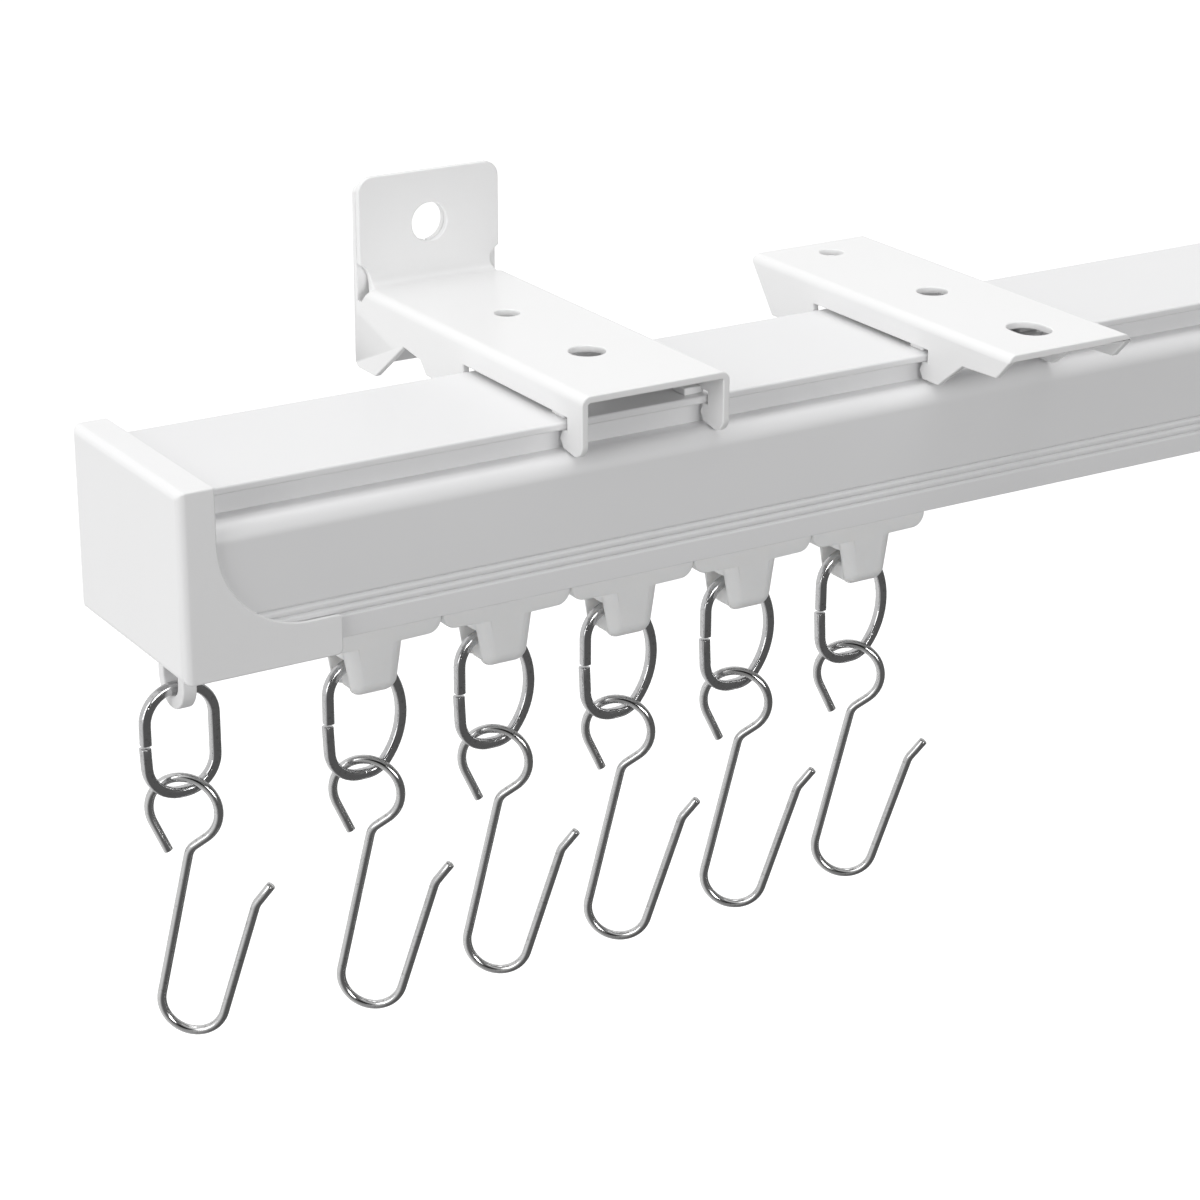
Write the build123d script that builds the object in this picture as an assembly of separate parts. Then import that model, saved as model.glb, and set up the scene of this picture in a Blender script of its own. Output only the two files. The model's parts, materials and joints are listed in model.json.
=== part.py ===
from build123d import *
import os
from math import cos, radians, sin

# A flanged curtain rail with a moulded cap on each end, held by one wall bracket and one
# ceiling bracket, with a row of gliders that each carry an oval link and a curtain hook.
#
# Part frame, in millimetres: X runs along the rail, Y into the wall, Z up. The origin is
# the wall bracket's screw hole, on the face that lies against the wall.
# The rail frame is used while drawing: x = 0 at the outer face of the left cap, y = 0 on
# the middle of the rail, z = 0 on top of the rail's flange.

# ---- driving dimensions -------------------------------------------------------------
# placing
overall_length = 400.0        # outer face to outer face of the two caps
rail_to_wall = 45.1           # wall to the middle of the rail
hole_above_rail = 12.3        # wall screw hole above the flange's top face
wall_bracket_x = 66.9         # middle of the wall bracket from the left end
ceiling_bracket_x = 123.5     # middle of the ceiling bracket from the left end

# rail, an extrusion open along its underside
body_width = 30.6
rail_height = 21.8
flange_inset = 2.5            # flange's edge inside the body's side
flange_overhang = 1.9         # flange's edge outside the neck
flange_thickness = 1.1
flange_edge = 0.35
shoulder_depth = 4.0          # flange's top face down to the shoulder
shoulder_radius = 2.6
rail_wall = 1.1
rail_lip = 1.2                # thickness of the two lips that carry the gliders
slot_width = 8.1
groove_count = 3
groove_depth = 0.3
groove_pitch = 1.1
groove_foot = 3.2             # lowest groove above the rail's underside

# end cap
cap_wall = 2.0                # closed end
cap_skin = 0.6                # skin around the rail
cap_floor = 1.9               # skin under the rail
cap_rim = 5.0                 # length of the full collar
cap_sweep = 12.1              # radius of the concave sweep from collar to toe
cap_toe_flat = 4.5            # level top of the toe
cap_toe_height = 5.4
cap_toe_round = 0.8
cap_round = 1.2
cap_clearance = 0.1
plug_length = 8.0             # tongue that grips inside the rail
plug_depth = 6.0
cap_eye_x = 6.0
cap_eye_thickness = 2.0
cap_eye_width = 7.5
cap_eye_drop = 9.4            # cap's underside down to the bottom of the eye
cap_eye_wall = 1.6            # eye's side to its hole
cap_eye_floor = 1.75          # eye's bottom up to its hole
cap_eye_stretch = 1.2         # hole's height beyond a round one

# glider
glider_count = 5
glider_length = 19.5
glider_gap = 0.2              # between one glider and the next
first_glider_gap = 1.1        # between the left cap's toe and the first glider
glider_drop = 7.3             # rail's underside down to the glider's underside
glider_corner = 2.0
glider_lift = 0.15            # head above the rail's lips
stem_clearance = 0.3          # stem to each side of the rail's slot
head_set_back = 0.75          # head's end inside the stem's end
head_clearance = 1.7          # head to each side wall inside the rail
head_height = 2.4
head_corner = 1.5
lug_top_length = 9.5
lug_bottom_length = 6.9
lug_drop = 7.1                # glider's underside down to the bottom of the lug
lug_wall = 1.35
lug_round = 2.1                # its upright and lower edges
saddle_length = 4.0           # bridge that the link hangs on
saddle_height = 2.85          # lug's bottom up to the top of the saddle
link_headroom = 0.9           # free space over the link

# links; the flat is the straight run at the top and at the bottom
cap_link_width = 11.0
cap_link_height = 16.0
cap_link_flat = 0.6
glider_link_width = 12.1
glider_link_height = 17.6
glider_link_flat = 2.1
link_wire = 1.4
link_edge = 0.4
link_split = 0.35
link_play = 0.35              # link's wire to the saddle or eye under it

# hook, bent from round wire; sizes to the wire's centre line
hook_wire = 1.25
hook_turn = 40.0              # degrees that the hook's plane is turned from the rail
hook_lean = 12.3              # degrees that the shank hangs out of the vertical
loop_radius = 4.62
loop_lift = 0.62              # link's wire to the loop's wire over it
tail_angle = 218.0
tail_length = 4.4
neck_angle = -40.0
neck_bend = 2.5
shank_offset = 1.67
shank_length = 27.0           # loop's centre down to the start of the bottom bend
bend_radius = 4.3
arm_splay = 4.5               # degrees that the free arm opens outwards
arm_length = 16.8
tip_splay = 24.0
tip_length = 3.6
tip_bend = 3.0

# brackets, folded from sheet
sheet = 1.0
fold_inside = 0.3             # inside radius of a fold between top and leg
bracket_top = 4.35            # bracket's top face above the flange's top face
leg_gap = 0.6                 # leg's edge above the flange
slot_gap_back = 1.0           # flange's rear edge to the leg behind it
slot_gap_front = 0.3
neck_gap = 0.7                # claw's tip to the rail's neck
shoulder_gap = 0.3            # claw's underside to the rail's shoulder
claw_slope = 0.4              # how far a claw's tip stands out under the flange
claw_chamfer = 1.2
press_tab_reach = 3.0         # tab folded in from each leg to bear on the flange
press_tab_length = 3.0
press_tab_inset = 4.3         # its rear end inside the flange's front edge

wall_bracket_width = 22.5
wall_nose = 1.6               # front end beyond the rail's side
wall_nose_drop = 0.1          # nose's lowest point below the rail's shoulder
wall_nose_length = 2.2
wall_nose_round = 1.9
plate_top = 19.9              # above the flange's top face
plate_corner = 2.2
plate_fold = 2.0              # inside radius between arm and plate
wall_hole = 5.6
wall_seam = 0.4               # between the two tabs that close the plate's back
wall_tab_gap = 0.05
wall_tab_drop = 1.3           # tabs' top below the plate's top
wall_tab_corner = 1.0
leg_foot = 7.8                # flange's top face down to the leg's foot at the wall
leg_foot_length = 5.8         # foot along the wall bracket's underside
leg_shoulder = 2.2            # leg's height beside the plate, above the flange's top face
arch_back = 14.4              # rear and front end of the leg's arch, from the wall
arch_front = 19.2
arch_height = 1.3             # arch below the flange's top face
arch_fall = 0.6               # and how much lower it is at its front end
claw_step = 1.6               # length of the slope from the arch to the claw
relief_radius = 2.4
relief_out = 0.9
arm_hole_large = 5.0
arm_hole_large_y = 0.3        # behind the rail's middle
arm_hole_small = 3.5
arm_hole_small_y = 21.3

ceiling_bracket_width = 20.9
ceiling_bracket_front = 30.7  # rail's middle to the front end
ceiling_bracket_back = 29.6   # rail's middle to the rear end
ceiling_toe = 5.4             # length of the slope at the rear end
ceiling_lip = 2.6             # length of the slope at the front end
ceiling_nose = 0.3            # front claw's foot beyond the rail's side
ceiling_rise = 5.5            # end of the slope in front of the claw, beyond the rail's side
ceiling_hole_small = 3.5
ceiling_hole_inset = 5.4      # from the rear end
ceiling_hole_medium = 4.4
ceiling_hole_medium_y = -0.2  # behind the rail's middle
ceiling_slot_width = 5.2
ceiling_slot_length = 6.8
ceiling_slot_inset = 8.9      # from the front end

# ---- values worked out from them ----------------------------------------------------
rail_length = overall_length - 2 * cap_wall
flange_width = body_width - 2 * flange_inset
neck_width = flange_width - 2 * flange_overhang
chamber_width = body_width - 2 * rail_wall
lip_top = -rail_height + rail_lip

cap_width = body_width + 2 * cap_skin
cap_bottom = -rail_height - cap_floor
cap_top = 2 * cap_skin
cap_toe = cap_rim + cap_sweep + cap_toe_flat
cap_eye_bottom = cap_bottom - cap_eye_drop

glider_pitch = glider_length + glider_gap
first_glider_x = cap_toe + first_glider_gap + glider_length / 2
glider_width = slot_width - 2 * stem_clearance
glider_bottom = -rail_height - glider_drop
lug_bottom = glider_bottom - lug_drop

saddle_top = lug_bottom + saddle_height
glider_link_top = saddle_top + link_play + link_wire
cap_hole_bottom = cap_eye_bottom + cap_eye_floor
cap_link_top = cap_hole_bottom + link_play + link_wire

fold_radius = sheet + fold_inside
slot_back = flange_width / 2 + slot_gap_back
slot_front = flange_width / 2 + slot_gap_front
claw_reach = neck_width / 2 + neck_gap
claw_bottom = shoulder_depth - shoulder_gap
wall_bracket_front = body_width / 2 + wall_nose
far = 2 * overall_length       # longer than anything that it cuts
bite = 0.5                     # how far joined pieces run into each other

to_part_frame = Location((-wall_bracket_x, -rail_to_wall, -hole_above_rail))


def block(x, y, z):
    """A box given by its (low, high) pair along each axis."""
    size = [high - low for low, high in (x, y, z)]
    middle = [(high + low) / 2 for low, high in (x, y, z)]
    return Pos(*middle) * Box(*size)


def across(outline, low, high):
    """An outline in (y, z) made solid from x = low to x = high."""
    return Pos(low, 0, 0) * extrude(Plane.YZ * outline, high - low)


def along_y(outline, low, high):
    """An outline in (x, z) made solid from y = low to y = high."""
    return Pos(0, high, 0) * extrude(Plane.XZ * outline, high - low)


def band(width, top, bottom):
    """A rectangle centred on the rail or on its own piece, from top to bottom."""
    return Pos(0, (top + bottom) / 2) * Rectangle(width, top - bottom)


def round_corner(face, point, radius):
    """The face with its corner nearest to the point rounded."""
    return fillet(face.vertices().sort_by_distance(point)[0], radius)


# ---- rail ---------------------------------------------------------------------------
def rail_outline():
    """The rail's outer outline, with no hollow and no grooves."""
    flange = Pos(0, -flange_thickness / 2) * RectangleRounded(flange_width, flange_thickness, flange_edge)
    neck = band(neck_width, -flange_thickness / 2, -shoulder_depth - shoulder_radius)
    body = band(body_width, -shoulder_depth, -rail_height)
    body = fillet(body.vertices().group_by(Axis.Y)[-1], shoulder_radius)
    return flange + neck + body


def make_rail():
    hollow = band(neck_width - 2 * rail_wall, -flange_thickness, -shoulder_depth - 2 * rail_wall)
    chamber = band(chamber_width, -shoulder_depth - rail_wall, lip_top)
    chamber = fillet(chamber.vertices().group_by(Axis.Y)[-1], shoulder_radius - rail_wall)
    slot = band(slot_width, -shoulder_depth - rail_wall, -rail_height - bite)
    section = rail_outline() - hollow - chamber - slot
    for side in (-1, 1):
        for number in range(groove_count):
            height = -rail_height + groove_foot + number * groove_pitch
            notch = Rectangle(groove_depth * 2**0.5, groove_depth * 2**0.5, rotation=45)
            section -= Pos(side * body_width / 2, height) * notch
    return across(section, cap_wall, cap_wall + rail_length)


# ---- end caps -----------------------------------------------------------------------
def cap_side():
    """The cap seen from the front: collar, concave sweep and toe, in (x, z)."""
    toe_top = cap_bottom + cap_toe_height
    start = (cap_rim, toe_top + cap_sweep)
    turn = (cap_rim + cap_sweep, toe_top)
    reach = cap_sweep * (1 - cos(radians(45)))
    middle = (cap_rim + reach, toe_top + reach)
    outline = Polyline(turn, (cap_toe, toe_top), (cap_toe, cap_bottom), (0, cap_bottom), (0, cap_top),
                       (cap_rim, cap_top), start)
    face = make_face([*outline.edges(), ThreePointArc(start, middle, turn)])
    return fillet(face.vertices().group_by(Axis.X)[-1], cap_toe_round)


def cap_eye():
    """A tab under the cap with a round-bottomed hole that the link hangs in."""
    radius = cap_eye_width / 2
    round_z = cap_eye_bottom + radius
    outline = band(cap_eye_width, cap_bottom + bite, round_z) + Pos(0, round_z) * Circle(radius)
    hole_radius = radius - cap_eye_wall
    hole_z = cap_hole_bottom + hole_radius + cap_eye_stretch / 2
    outline -= Pos(0, hole_z) * SlotCenterToCenter(cap_eye_stretch, 2 * hole_radius, rotation=90)
    return across(outline, cap_eye_x - cap_eye_thickness / 2, cap_eye_x + cap_eye_thickness / 2)


def make_left_cap():
    cap = along_y(cap_side(), -cap_width / 2, cap_width / 2)
    end = cap.faces().sort_by(Axis.X)[0]
    cap = fillet(end.edges(), cap_round)
    pocket = offset(rail_outline(), amount=cap_clearance)
    cap -= across(pocket, cap_wall, far)
    plug_half = neck_width / 2 - rail_wall - cap_clearance
    top = -flange_thickness - cap_clearance
    plug = block((cap_wall - bite, cap_wall + plug_length), (-plug_half, plug_half), (top - plug_depth, top))
    return cap + plug + cap_eye()


def make_right_cap():
    return Pos(overall_length, 0, 0) * mirror(make_left_cap(), Plane.YZ)


# ---- gliders ------------------------------------------------------------------------
def make_glider(x):
    """One moulded glider: head inside the rail, stem through its slot, and lug below."""
    half = glider_width / 2
    head_bottom = lip_top + glider_lift
    stem_side = band(glider_length, head_bottom + bite, glider_bottom)
    stem_side = fillet(stem_side.vertices().group_by(Axis.Y)[0], glider_corner)
    stem = along_y(stem_side, -half, half)
    head_half_length = glider_length / 2 - head_set_back
    head_half_width = chamber_width / 2 - head_clearance
    head = block((-head_half_length, head_half_length), (-head_half_width, head_half_width),
                 (head_bottom, head_bottom + head_height))
    head = fillet(head.edges().filter_by(Axis.Z), head_corner)

    top, bottom = glider_bottom + 2 * bite, lug_bottom
    wide, narrow = lug_top_length / 2, lug_bottom_length / 2
    front = make_face(Polyline((-wide, top), (wide, top), (narrow, bottom), (-narrow, bottom), close=True))
    cup = along_y(front, -half, half)
    roof_edges = cup.edges().group_by(Axis.Z)[-1]
    cup = fillet([edge for edge in cup.edges() if edge not in roof_edges], lug_round)

    inner = half - lug_wall
    roof = glider_link_top + link_headroom
    tunnel = block((-glider_length, glider_length), (-inner, inner), (bottom - bite, roof))
    ends = (-saddle_length / 2, saddle_length / 2)
    saddle = block(ends, (-inner - bite, inner + bite), (bottom, saddle_top))
    link_corner = (glider_link_width - glider_link_flat) / 2
    saddle_round = link_corner - link_wire - link_play
    saddle &= along_y(Pos(0, saddle_top - saddle_round) * Circle(saddle_round), -half, half) & cup
    return Pos(x, 0, 0) * (stem + head + (cup - tunnel) + saddle)


# ---- links and hooks ----------------------------------------------------------------
def link_outline(width, height, corner, bowed):
    """Outline in (x, z): a straight left side, and a right side straight or bowed."""
    outline = RectangleRounded(width, height, corner)
    if bowed:
        left = Pos(-width / 2, 0) * Rectangle(width, height)
        right = Pos(width / 2, 0) * Rectangle(width, height)
        outline = (outline & left) + (Ellipse(width / 2, height / 2) & right)
    return outline


def make_link(x, top, width, height, flat, bowed):
    """An oval link of square wire with rounded edges, split on its left side."""
    thick = 2 * link_wire
    corner = (width - flat) / 2
    ring = link_outline(width, height, corner, bowed)
    ring -= link_outline(width - thick, height - thick, corner - link_wire, bowed)
    link = along_y(ring, -link_wire / 2, link_wire / 2)
    link = fillet(link.faces().filter_by(Axis.Y).edges(), link_edge)
    link -= block((-width, 0), (-link_wire, link_wire), (-link_split / 2, link_split / 2))
    return Pos(x, 0, top - height / 2) * link


def turned(angle, length):
    """A step of that length at that angle, in degrees, in a hook's own plane."""
    return Vector(length * cos(radians(angle)), length * sin(radians(angle)))


def hook_line():
    """The hook's centre line in its own plane, upright, with the loop's centre at 0, 0."""
    tail = turned(tail_angle, loop_radius)
    tail_end = tail + turned(tail_angle + 90, tail_length)
    neck = turned(neck_angle, loop_radius)
    down_left = turned(neck_angle - 90, 1)
    elbow = neck + down_left * ((shank_offset - neck.X) / down_left.X)
    shank_end = Vector(shank_offset, -shank_length)
    bend_centre = Vector(shank_offset + bend_radius, -shank_length)
    arm = bend_centre + turned(-arm_splay, bend_radius)
    tip = arm + turned(90 - arm_splay, arm_length)
    tip_end = tip + turned(90 - tip_splay, tip_length)
    return Wire([
        *Line(tail_end, tail).edges(),
        *CenterArc((0, 0), loop_radius, tail_angle, neck_angle - tail_angle).edges(),
        *FilletPolyline(neck, elbow, shank_end, radius=neck_bend).edges(),
        *CenterArc(bend_centre, bend_radius, 180, 180 - arm_splay).edges(),
        *FilletPolyline(arm, tip, tip_end, radius=tip_bend).edges(),
    ])


def make_hook(x, link_top, link_height):
    """A hook whose loop hangs over the bottom wire of a link."""
    loop_z = link_top - link_height + link_wire + loop_lift + hook_wire / 2 - loop_radius
    along = (cos(radians(hook_turn)), -sin(radians(hook_turn)), 0)
    normal = (-sin(radians(hook_turn)), -cos(radians(hook_turn)), 0)
    plane = Plane(origin=(x, 0, loop_z), x_dir=along, z_dir=normal)
    line = plane * (Rot(0, 0, -hook_lean) * hook_line())
    start = Plane(origin=line @ 0, z_dir=line % 0)
    return sweep(start * Circle(hook_wire / 2), path=line)


# ---- brackets -----------------------------------------------------------------------
def flange_slot():
    """The (y, z) outline points of a leg from its rear claw, over the flange, to its front claw."""
    under = -flange_thickness
    return [
        (claw_reach + claw_chamfer, -claw_bottom), (claw_reach, -claw_bottom + claw_chamfer),
        (claw_reach + claw_slope, under), (slot_back, under), (slot_back, leg_gap),
        (-slot_front, leg_gap), (-slot_front, under), (-claw_reach - claw_slope, under),
        (-claw_reach + claw_slope / 2, -claw_bottom + claw_chamfer),
        (-claw_reach - claw_chamfer / 2, -claw_bottom),
    ]


def folded_channel(width, depth, front, back, side):
    """A channel folded from sheet, its legs cut to a side outline in (y, z)."""
    outer = Pos(0, bracket_top - depth) * Rectangle(width, 2 * depth)
    outer = fillet(outer.vertices().group_by(Axis.Y)[-1], fold_radius)
    inner = Pos(0, bracket_top - sheet - depth) * Rectangle(width - 2 * sheet, 2 * depth)
    inner = fillet(inner.vertices().group_by(Axis.Y)[-1], fold_inside)
    channel = along_y(outer - inner, front, back)
    return channel & across(side, -width, width)


def press_tabs(width):
    """Tabs folded in from the legs that bear on top of the flange."""
    edge = width / 2 - sheet / 2
    back = -flange_width / 2 + press_tab_inset
    span = (back - press_tab_length, back)
    left = block((-edge, -edge + press_tab_reach), span, (0, sheet))
    right = block((edge - press_tab_reach, edge), span, (0, sheet))
    return left + right


def round_hole(diameter, y):
    """A drill through a bracket's top, y behind the rail's middle."""
    return Pos(0, y, bracket_top) * Cylinder(diameter / 2, 4 * sheet)


def wall_strip(plate_front):
    """The arm's top folded up into the plate, with its two bend reliefs."""
    width = wall_bracket_width
    plate_back = plate_front + sheet
    fold_start = plate_front - plate_fold
    arm_under = bracket_top - sheet
    arm = block((-width / 2, width / 2), (fold_start - plate_fold, plate_back), (arm_under, bracket_top))
    plate = block((-width / 2, width / 2), (plate_front, plate_back), (arm_under, plate_top))
    strip = arm + plate
    bends = strip.edges().filter_by(Axis.X)
    strip = fillet(bends.sort_by_distance((0, plate_back, arm_under))[0], plate_fold + sheet)
    bends = strip.edges().filter_by(Axis.X)
    strip = fillet(bends.sort_by_distance((0, plate_front, bracket_top))[0], plate_fold)
    corners = strip.edges().filter_by(Axis.Y).group_by(Axis.Z)[-1]
    strip = fillet(corners, plate_corner)
    for side in (-1, 1):
        place = Pos(side * (width / 2 + relief_out), plate_front, bracket_top + relief_out)
        strip -= place * Rot(90, 0, 0) * Cylinder(relief_radius, 4 * plate_fold)
    return strip


def wall_tab(side, back):
    """One of the two tabs folded in from the legs behind the plate."""
    outer, inner = side * wall_bracket_width / 2, side * wall_seam / 2
    tab = block(sorted((outer, inner)), (back - sheet, back), (-leg_foot, plate_top - wall_tab_drop))
    return fillet(tab.edges().filter_by(Axis.Y), wall_tab_corner)


def make_wall_bracket():
    width = wall_bracket_width
    back = rail_to_wall
    front = -wall_bracket_front
    nose = -shoulder_depth - wall_nose_drop
    plate_front = back - 2 * sheet - wall_tab_gap
    fold_start = plate_front - plate_fold
    leg = make_face(Polyline(
        (front, bracket_top), (fold_start, bracket_top), (plate_front, leg_shoulder), (back, leg_shoulder),
        (back, -leg_foot), (back - leg_foot_length, -leg_foot), (back - arch_back, -arch_height),
        (back - arch_front, -arch_height - arch_fall), (back - arch_front - claw_step, -claw_bottom),
        *flange_slot(), (front + wall_nose_length, nose), (front, nose), close=True))
    leg = round_corner(leg, (front, nose), wall_nose_round)
    leg = round_corner(leg, (back, -leg_foot), wall_tab_corner)
    bracket = folded_channel(width, bracket_top + leg_foot + sheet, front, back, leg)
    bracket += wall_strip(plate_front)
    bracket += wall_tab(-1, back) + wall_tab(1, back)
    bracket += press_tabs(width)
    bracket -= round_hole(arm_hole_large, arm_hole_large_y)
    bracket -= round_hole(arm_hole_small, arm_hole_small_y)
    bracket -= Pos(0, back, hole_above_rail) * Rot(90, 0, 0) * Cylinder(wall_hole / 2, 6 * sheet)
    return Pos(wall_bracket_x, 0, 0) * bracket


def make_ceiling_bracket():
    width = ceiling_bracket_width
    front, back = -ceiling_bracket_front, ceiling_bracket_back
    under = bracket_top - sheet
    claw_foot = -body_width / 2 - ceiling_nose
    slope_end = -body_width / 2 - ceiling_rise
    leg = make_face(Polyline(
        (front, bracket_top), (back, bracket_top), (back, under), (back - ceiling_toe, -claw_bottom),
        *flange_slot(), (claw_foot, -claw_bottom), (slope_end, leg_gap / 2), (front + ceiling_lip, leg_gap),
        (front, under), close=True))
    bracket = folded_channel(width, bracket_top + claw_bottom + sheet, front, back, leg)
    bracket += press_tabs(width)
    bracket -= round_hole(ceiling_hole_small, back - ceiling_hole_inset)
    bracket -= round_hole(ceiling_hole_medium, ceiling_hole_medium_y)
    slot = SlotOverall(ceiling_slot_length, ceiling_slot_width, rotation=90)
    bracket -= Pos(0, front + ceiling_slot_inset, bracket_top - 2 * sheet) * extrude(slot, 4 * sheet)
    return Pos(ceiling_bracket_x, 0, 0) * bracket


# ---- the set ------------------------------------------------------------------------
def make_nodes():
    nodes = {
        "rail": make_rail(),
        "end_cap_left": make_left_cap(),
        "end_cap_right": make_right_cap(),
        "wall_bracket": make_wall_bracket(),
        "ceiling_bracket": make_ceiling_bracket(),
    }
    for side, x in (("left", cap_eye_x), ("right", overall_length - cap_eye_x)):
        nodes[f"link_{side}"] = make_link(x, cap_link_top, cap_link_width, cap_link_height,
                                          cap_link_flat, False)
        nodes[f"hook_{side}"] = make_hook(x, cap_link_top, cap_link_height)
    for number in range(glider_count):
        x = first_glider_x + number * glider_pitch
        nodes[f"glider_{number + 1}"] = make_glider(x)
        nodes[f"link_{number + 1}"] = make_link(x, glider_link_top, glider_link_width, glider_link_height,
                                                glider_link_flat, True)
        nodes[f"hook_{number + 1}"] = make_hook(x, glider_link_top, glider_link_height)
    return nodes


os.makedirs("parts", exist_ok=True)
for name, shape in make_nodes().items():
    export_step(to_part_frame * shape, f"parts/{name}.step")
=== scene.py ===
"""A white curtain rail with its caps, brackets, gliders, links and hooks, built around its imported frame."""

import json
import math

import bmesh
import bpy
from bpy.props import FloatProperty, FloatVectorProperty, IntProperty, PointerProperty
from mathutils import Matrix, Vector
from mathutils.bvhtree import BVHTree


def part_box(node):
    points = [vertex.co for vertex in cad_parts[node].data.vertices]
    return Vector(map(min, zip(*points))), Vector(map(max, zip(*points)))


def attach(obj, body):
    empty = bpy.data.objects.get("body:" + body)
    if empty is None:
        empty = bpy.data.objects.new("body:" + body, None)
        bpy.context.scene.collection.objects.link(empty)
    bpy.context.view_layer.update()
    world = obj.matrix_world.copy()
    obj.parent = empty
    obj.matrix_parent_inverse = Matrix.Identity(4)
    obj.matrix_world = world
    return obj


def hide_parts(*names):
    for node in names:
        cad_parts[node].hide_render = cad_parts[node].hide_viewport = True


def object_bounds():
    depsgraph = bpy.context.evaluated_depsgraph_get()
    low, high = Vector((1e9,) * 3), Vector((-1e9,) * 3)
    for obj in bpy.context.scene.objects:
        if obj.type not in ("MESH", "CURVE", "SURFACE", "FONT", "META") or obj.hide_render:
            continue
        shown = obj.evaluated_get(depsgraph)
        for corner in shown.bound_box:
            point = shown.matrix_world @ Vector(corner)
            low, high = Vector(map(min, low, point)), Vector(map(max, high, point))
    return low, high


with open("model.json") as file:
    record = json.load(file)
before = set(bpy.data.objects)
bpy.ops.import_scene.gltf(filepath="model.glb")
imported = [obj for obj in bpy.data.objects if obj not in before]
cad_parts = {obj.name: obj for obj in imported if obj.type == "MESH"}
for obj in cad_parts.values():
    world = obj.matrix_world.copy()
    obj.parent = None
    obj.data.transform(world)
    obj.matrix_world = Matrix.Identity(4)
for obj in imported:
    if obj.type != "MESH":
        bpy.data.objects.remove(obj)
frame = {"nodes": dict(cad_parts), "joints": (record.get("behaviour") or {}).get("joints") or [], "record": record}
CAD_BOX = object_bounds()

bl_info = {
    "name": "Curtain Rail Set",
    "version": (1, 0, 0),
    "blender": (4, 5, 0),
    "location": "View3D > Sidebar > Curtain Rail",
    "description": "Finishes a white curtain rail with its caps, brackets, gliders, links and hooks",
    "category": "Add Mesh",
}

MM = 0.001
UP = Vector((0, 0, 1))
FLAT_ANGLE = math.radians(0.8)        # faces that turn less than this are one flat face
SHARP_ANGLE = math.radians(28)        # outer edges that turn more than this are rounded
CREASE_ANGLE = math.radians(47)       # edges that still turn more than this are shaded as creases
NARROW_SHARE = 0.3                    # of the rounding's width: a shorter edge leaves no room for it
MERGE_DISTANCES = (0.0005 * MM, 0.03 * MM, 0.06 * MM, 0.1 * MM)
BRIGHT_SIDE = (-0.54, 0.78, 0.31)     # from the set towards the bright wall of the studio
DARK_CARD = (-0.48, -0.80, 0.36)      # from the set towards a dark card, which edges the bright metal
RAIL_NODES = ["rail"]
CAP_NODES = ["end_cap_left", "end_cap_right"]
BRACKET_NODES = ["wall_bracket", "ceiling_bracket"]
GLIDER_NODES = sorted(name for name in frame["nodes"] if name.startswith("glider_"))
CAP_LINKS = ["link_left", "link_right"]
GLIDER_LINKS = [name.replace("glider", "link") for name in GLIDER_NODES]
HOOK_NODES = sorted(name for name in frame["nodes"] if name.startswith("hook_"))
HOOK_JOINTS = {joint["child"]: joint for joint in frame["joints"] if joint["child"].startswith("hook_")}
BODY_OF = {node: body for body, nodes in frame["record"]["behaviour"]["bodies"].items() for node in nodes}
SLOT_OF = {part["node"]: part["material_slot"] for part in frame["record"]["subparts"]}
FINISH_OF = {
    "rail_white": "coated_aluminium", "cap_white": "moulded_plastic", "bracket_white": "powder_coat",
    "glider_nylon": "natural_nylon", "link_steel": "zinc_plated_wire", "hook_steel": "bright_drawn_wire",
}


# ---- settings ------------------------------------------------------------------------
class RailFinish(bpy.types.PropertyGroup):
    """Colours and edge sizes of the white parts"""
    rail_color: FloatVectorProperty(
        name="Rail", description="Coating of the rail", subtype="COLOR", size=3, default=(0.82, 0.82, 0.825))
    cap_color: FloatVectorProperty(
        name="Caps", description="Plastic of the end caps", subtype="COLOR", size=3,
        default=(0.86, 0.86, 0.862))
    bracket_color: FloatVectorProperty(
        name="Brackets", description="Powder coat of the brackets", subtype="COLOR", size=3,
        default=(0.88, 0.88, 0.88))
    nylon_color: FloatVectorProperty(
        name="Gliders", description="Nylon of the gliders", subtype="COLOR", size=3,
        default=(0.93, 0.935, 0.93))
    rail_edge: FloatProperty(
        name="Rail edge", description="Rounding of the rail's edges", default=0.12 * MM, subtype="DISTANCE")
    cap_edge: FloatProperty(
        name="Cap edge", description="Rounding of the caps' edges", default=0.25 * MM, subtype="DISTANCE")
    bracket_edge: FloatProperty(
        name="Bracket edge", description="Rounding of the coated sheet's edges", default=0.2 * MM,
        subtype="DISTANCE")
    glider_edge: FloatProperty(
        name="Glider edge", description="Rounding of the gliders' edges", default=0.3 * MM,
        subtype="DISTANCE")


class LinkShape(bpy.types.PropertyGroup):
    """Sizes of the split links"""
    wire: FloatProperty(name="Wire", description="Side of the square wire", default=1.4 * MM,
                        subtype="DISTANCE")
    edge: FloatProperty(name="Edge", description="Rounding of the wire's edges", default=0.42 * MM,
                        subtype="DISTANCE")
    split: FloatProperty(name="Split", description="Gap where the ring closes", default=0.35 * MM,
                         subtype="DISTANCE")
    cap_corner: FloatProperty(name="Cap link corner", description="Outer corner radius of a cap's link",
                              default=5.2 * MM, subtype="DISTANCE")
    glider_corner: FloatProperty(name="Glider link corner", default=5.0 * MM, subtype="DISTANCE",
                                 description="Outer corner radius of a glider's link")
    spring: FloatProperty(name="Spring", description="How far the lower end stands out at the split",
                          default=math.radians(2.6), subtype="ANGLE")
    color: FloatVectorProperty(name="Zinc", description="Colour of the zinc plating", subtype="COLOR", size=3,
                               default=(0.56, 0.56, 0.565))


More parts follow.
